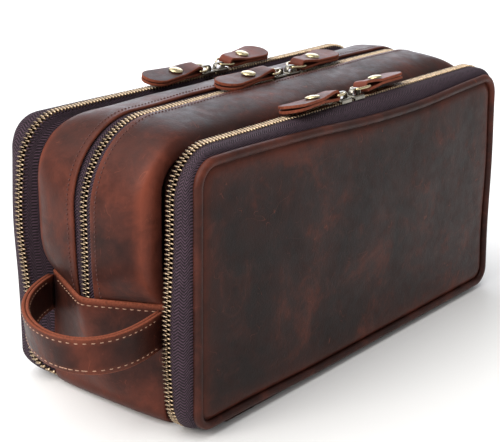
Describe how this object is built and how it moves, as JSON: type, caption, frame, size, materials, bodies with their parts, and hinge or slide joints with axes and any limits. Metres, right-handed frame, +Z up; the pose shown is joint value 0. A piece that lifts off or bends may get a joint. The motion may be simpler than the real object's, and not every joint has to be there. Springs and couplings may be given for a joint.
{
  "type": "leather shaving kit bag",
  "caption": "Boxy leather toiletry bag with a domed middle compartment, two side pockets, each closed by a two-slider metal zip, and a strap handle at one end.",
  "frame": {"origin": "middle of the base, on the surface that the bag stands on, midway between the ends and between the side panels", "axes": "+X along the bag, away from the handle; -Y the front side pocket; +Z up"},
  "size_m": [0.368, 0.137, 0.1674],
  "materials": {
    "leather": "waxed dark brown pull-up leather, rubbed reddish at edges",
    "strap_leather": "waxed dark brown leather with beige stitching",
    "tab_leather": "waxed dark brown leather with raw tan edges",
    "piping_leather": "waxed dark brown leather over cord",
    "zip_tape": "woven dark purple-brown tape",
    "brass_teeth": "antique brass",
    "brass_wire": "polished light brass",
    "brass_rivet": "pale polished brass",
    "nickel_slider": "polished dark nickel",
    "board": "matt grey-brown pressed fibre board",
    "lining": "plain woven brown cotton"
  },
  "bodies": {
    "rear_half": {"base_leather": "leather", "base_board": "board", "handle_outer_layer": "strap_leather", "handle_inner_layer": "strap_leather", "rear_gusset": "leather", "rear_main_tape": "zip_tape", "rear_main_teeth": "brass_teeth", "rear_wall": "leather", "rear_wall_lining": "lining", "rear_pocket_bottom": "leather", "rear_pocket_body_tape": "zip_tape", "rear_pocket_body_teeth": "brass_teeth"},
    "front_half": {"front_gusset": "leather", "front_main_tape": "zip_tape", "front_main_teeth": "brass_teeth", "front_wall": "leather", "front_wall_lining": "lining", "front_pocket_bottom": "leather", "front_pocket_body_tape": "zip_tape", "front_pocket_body_teeth": "brass_teeth"},
    "front_panel": {"front_panel_leather": "leather", "front_panel_board": "board", "front_panel_lining": "lining", "front_piping": "piping_leather", "front_panel_tape": "zip_tape", "front_panel_teeth": "brass_teeth"},
    "rear_panel": {"rear_panel_leather": "leather", "rear_panel_board": "board", "rear_panel_lining": "lining", "rear_piping": "piping_leather", "rear_panel_tape": "zip_tape", "rear_panel_teeth": "brass_teeth"},
    "main_left_slider": {"main_left_slider": "nickel_slider"},
    "main_left_link": {"main_left_link": "brass_wire"},
    "main_left_pull": {"main_left_pull_tab": "tab_leather", "main_left_rivet": "brass_rivet"},
    "main_right_slider": {"main_right_slider": "nickel_slider"},
    "main_right_link": {"main_right_link": "brass_wire"},
    "main_right_pull": {"main_right_pull_tab": "tab_leather", "main_right_rivet": "brass_rivet"},
    "front_left_slider": {"front_left_slider": "nickel_slider"},
    "front_left_link": {"front_left_link": "brass_wire"},
    "front_left_pull": {"front_left_pull_tab": "tab_leather", "front_left_rivet": "brass_rivet"},
    "front_right_slider": {"front_right_slider": "nickel_slider"},
    "front_right_link": {"front_right_link": "brass_wire"},
    "front_right_pull": {"front_right_pull_tab": "tab_leather", "front_right_rivet": "brass_rivet"},
    "rear_left_slider": {"rear_left_slider": "nickel_slider"},
    "rear_left_link": {"rear_left_link": "brass_wire"},
    "rear_left_pull": {"rear_left_pull_tab": "tab_leather", "rear_left_rivet": "brass_rivet"},
    "rear_right_slider": {"rear_right_slider": "nickel_slider"},
    "rear_right_link": {"rear_right_link": "brass_wire"},
    "rear_right_pull": {"rear_right_pull_tab": "tab_leather", "rear_right_rivet": "brass_rivet"}
  },
  "joints": [
    {"name": "main_open", "type": "hinge", "parent": "rear_half", "child": "front_half", "pos_m": [0, -0.066, 0.0025], "axis": [1, 0, 0], "range_deg": [0, 14]},
    {"name": "front_panel_open", "type": "hinge", "parent": "front_half", "child": "front_panel", "pos_m": [0, -0.066, 0.0025], "axis": [1, 0, 0], "range_deg": [0, 90]},
    {"name": "rear_panel_open", "type": "hinge", "parent": "rear_half", "child": "rear_panel", "pos_m": [0, 0.066, 0.0025], "axis": [-1, 0, 0], "range_deg": [0, 90]},
    {"name": "main_left_zip", "type": "slide", "parent": "front_half", "child": "main_left_slider", "axis": [-1, 0, 0], "range_m": [0, 0.11]},
    {"name": "main_left_link_swing", "type": "hinge", "parent": "main_left_slider", "child": "main_left_link", "pos_m": [-0.0005, 0, 0.1638], "axis": [0, 0.9962, 0.0872], "range_deg": [0, 100]},
    {"name": "main_left_pull_fold", "type": "hinge", "parent": "main_left_link", "child": "main_left_pull", "pos_m": [-0.0105, 0, 0.1638], "axis": [0, 0.9962, 0.0872], "range_deg": [0, 60]},
    {"name": "main_right_zip", "type": "slide", "parent": "front_half", "child": "main_right_slider", "axis": [1, 0, 0], "range_m": [0, 0.11]},
    {"name": "main_right_link_swing", "type": "hinge", "parent": "main_right_slider", "child": "main_right_link", "pos_m": [0.0125, 0, 0.1638], "axis": [0.1386, -0.9865, -0.0872], "range_deg": [0, 100]},
    {"name": "main_right_pull_fold", "type": "hinge", "parent": "main_right_link", "child": "main_right_pull", "pos_m": [0.0224, 0.00139, 0.1638], "axis": [0.1386, -0.9865, -0.0872], "range_deg": [0, 60]},
    {"name": "front_left_zip", "type": "slide", "parent": "front_panel", "child": "front_left_slider", "axis": [-1, 0, 0], "range_m": [0, 0.11]},
    {"name": "front_left_link_swing", "type": "hinge", "parent": "front_left_slider", "child": "front_left_link", "pos_m": [-0.0095, -0.053, 0.1591], "axis": [0, 0.9781, -0.2079], "range_deg": [0, 100]},
    {"name": "front_left_pull_fold", "type": "hinge", "parent": "front_left_link", "child": "front_left_pull", "pos_m": [-0.0195, -0.053, 0.1591], "axis": [0, 0.9781, -0.2079], "range_deg": [0, 60]},
    {"name": "front_right_zip", "type": "slide", "parent": "front_panel", "child": "front_right_slider", "axis": [1, 0, 0], "range_m": [0, 0.11]},
    {"name": "front_right_link_swing", "type": "hinge", "parent": "front_right_slider", "child": "front_right_link", "pos_m": [0.0035, -0.053, 0.1591], "axis": [0.1361, -0.9686, 0.2079], "range_deg": [0, 100]},
    {"name": "front_right_pull_fold", "type": "hinge", "parent": "front_right_link", "child": "front_right_pull", "pos_m": [0.0134, -0.05161, 0.1591], "axis": [0.1361, -0.9686, 0.2079], "range_deg": [0, 60]},
    {"name": "rear_left_zip", "type": "slide", "parent": "rear_panel", "child": "rear_left_slider", "axis": [-1, 0, 0], "range_m": [0, 0.11]},
    {"name": "rear_left_link_swing", "type": "hinge", "parent": "rear_left_slider", "child": "rear_left_link", "pos_m": [-0.0045, 0.053, 0.1591], "axis": [0, 0.9781, 0.2079], "range_deg": [0, 100]},
    {"name": "rear_left_pull_fold", "type": "hinge", "parent": "rear_left_link", "child": "rear_left_pull", "pos_m": [-0.0145, 0.053, 0.1591], "axis": [0, 0.9781, 0.2079], "range_deg": [0, 60]},
    {"name": "rear_right_zip", "type": "slide", "parent": "rear_panel", "child": "rear_right_slider", "axis": [1, 0, 0], "range_m": [0, 0.11]},
    {"name": "rear_right_link_swing", "type": "hinge", "parent": "rear_right_slider", "child": "rear_right_link", "pos_m": [0.0085, 0.053, 0.1591], "axis": [0.1361, -0.9686, -0.2079], "range_deg": [0, 100]},
    {"name": "rear_right_pull_fold", "type": "hinge", "parent": "rear_right_link", "child": "rear_right_pull", "pos_m": [0.0184, 0.05439, 0.1591], "axis": [0.1361, -0.9686, -0.2079], "range_deg": [0, 60]}
  ]
}
